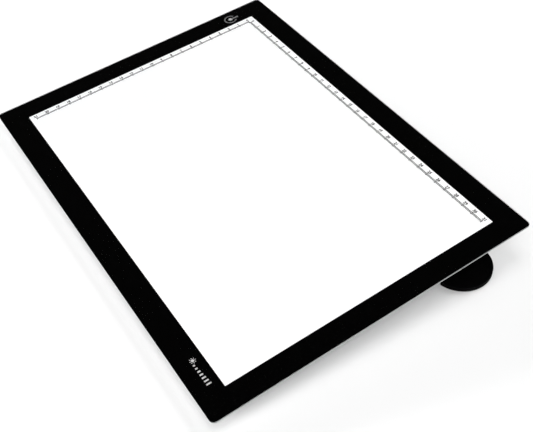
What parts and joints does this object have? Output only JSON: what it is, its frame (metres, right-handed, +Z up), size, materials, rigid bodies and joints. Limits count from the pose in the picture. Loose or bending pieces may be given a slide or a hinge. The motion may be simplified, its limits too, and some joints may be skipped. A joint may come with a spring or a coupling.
{
  "type": "light box",
  "caption": "Flat edge-lit tracing light box with a black-bordered clear cover, raised at the rear on folding legs with round feet",
  "frame": {"origin": "middle of the footprint's bounding box, on the plane that the part stands on", "axes": "+X along the long side to the right, +Y from the front edge to the raised rear edge, +Z up"},
  "size_m": [0.3708, 0.26, 0.0344],
  "materials": {
    "clear_acrylic": "polished clear plastic sheet",
    "black_print": "gloss black ink seen through the cover",
    "bonding_film": "white double-sided tape",
    "optical_film": "translucent white film",
    "guide_acrylic": "polished clear sheet",
    "reflector_white": "white reflective film",
    "frame_white": "moulded white plastic",
    "strip_white": "white solder mask on flexible board",
    "chip_yellow": "phosphor-filled package",
    "shell_grey": "fine satin moulding",
    "board_green": "solder mask on glass fibre",
    "socket_steel": "stamped and plated",
    "package_black": "moulded package",
    "inductor_grey": "pressed ferrite",
    "capacitor_tan": "bare ceramic",
    "led_white": "diffusing package",
    "spacer_clear": "translucent silicone",
    "electrode_copper": "copper foil",
    "connector_cream": "moulded nylon",
    "lead_amber": "polyimide film",
    "bumper_rubber": "soft matt rubber",
    "bracket_steel": "zinc-plated sheet",
    "screw_steel": "plated, cross recess",
    "pin_steel": "ground pin",
    "leg_black": "glass-filled nylon",
    "disc_black": "satin moulding",
    "sole_rubber": "soft matt rubber"
  },
  "bodies": {
    "pad": {"cover_panel": "clear_acrylic", "border_mask": "black_print", "cover_adhesive": "bonding_film", "reflector_film": "reflector_white", "light_guide": "guide_acrylic", "diffuser_film": "optical_film", "prism_film": "optical_film", "guide_frame": "frame_white", "led_strip_board": "strip_white", "led_chips": "chip_yellow", "back_shell": "shell_grey", "board_tape": "bonding_film", "control_board": "board_green", "driver_chip": "package_black", "power_inductor": "inductor_grey", "small_capacitors": "capacitor_tan", "status_led": "led_white", "touch_spacer": "spacer_clear", "touch_electrode": "electrode_copper", "strip_connector": "connector_cream", "strip_lead": "lead_amber", "power_socket": "socket_steel", "socket_tongue": "package_black", "bumper_front_left": "bumper_rubber", "bumper_rear_left": "bumper_rubber", "bumper_front_right": "bumper_rubber", "bumper_rear_right": "bumper_rubber", "leg_bracket_left": "bracket_steel", "bracket_screws_left": "screw_steel", "hinge_pin_left": "pin_steel", "leg_bracket_right": "bracket_steel", "bracket_screws_right": "screw_steel", "hinge_pin_right": "pin_steel"},
    "leg_left_body": {"leg_left": "leg_black"},
    "foot_left_body": {"foot_disc_left": "disc_black", "foot_sole_left": "sole_rubber", "foot_pin_left": "pin_steel"},
    "leg_right_body": {"leg_right": "leg_black"},
    "foot_right_body": {"foot_disc_right": "disc_black", "foot_sole_right": "sole_rubber", "foot_pin_right": "pin_steel"}
  },
  "joints": [
    {"name": "leg_fold_left", "type": "hinge", "parent": "pad", "child": "leg_left_body", "pos_m": [-0.1618, 0.08811, 0.02224], "axis": [1, 0, 0], "range_deg": [0, 103.3]},
    {"name": "foot_level_left", "type": "hinge", "parent": "leg_left_body", "child": "foot_left_body", "pos_m": [-0.1618, 0.08536, 0.0027], "axis": [1, 0, 0], "range_deg": [-98, 0]},
    {"name": "leg_fold_right", "type": "hinge", "parent": "pad", "child": "leg_right_body", "pos_m": [0.1618, 0.08811, 0.02224], "axis": [1, 0, 0], "range_deg": [0, 103.3]},
    {"name": "foot_level_right", "type": "hinge", "parent": "leg_right_body", "child": "foot_right_body", "pos_m": [0.1618, 0.08536, 0.0027], "axis": [1, 0, 0], "range_deg": [-98, 0]}
  ],
  "couplings": [
    {"joint": "foot_level_left", "follows": "leg_fold_left", "ratio": -0.94869},
    {"joint": "foot_level_right", "follows": "leg_fold_right", "ratio": -0.94869}
  ]
}
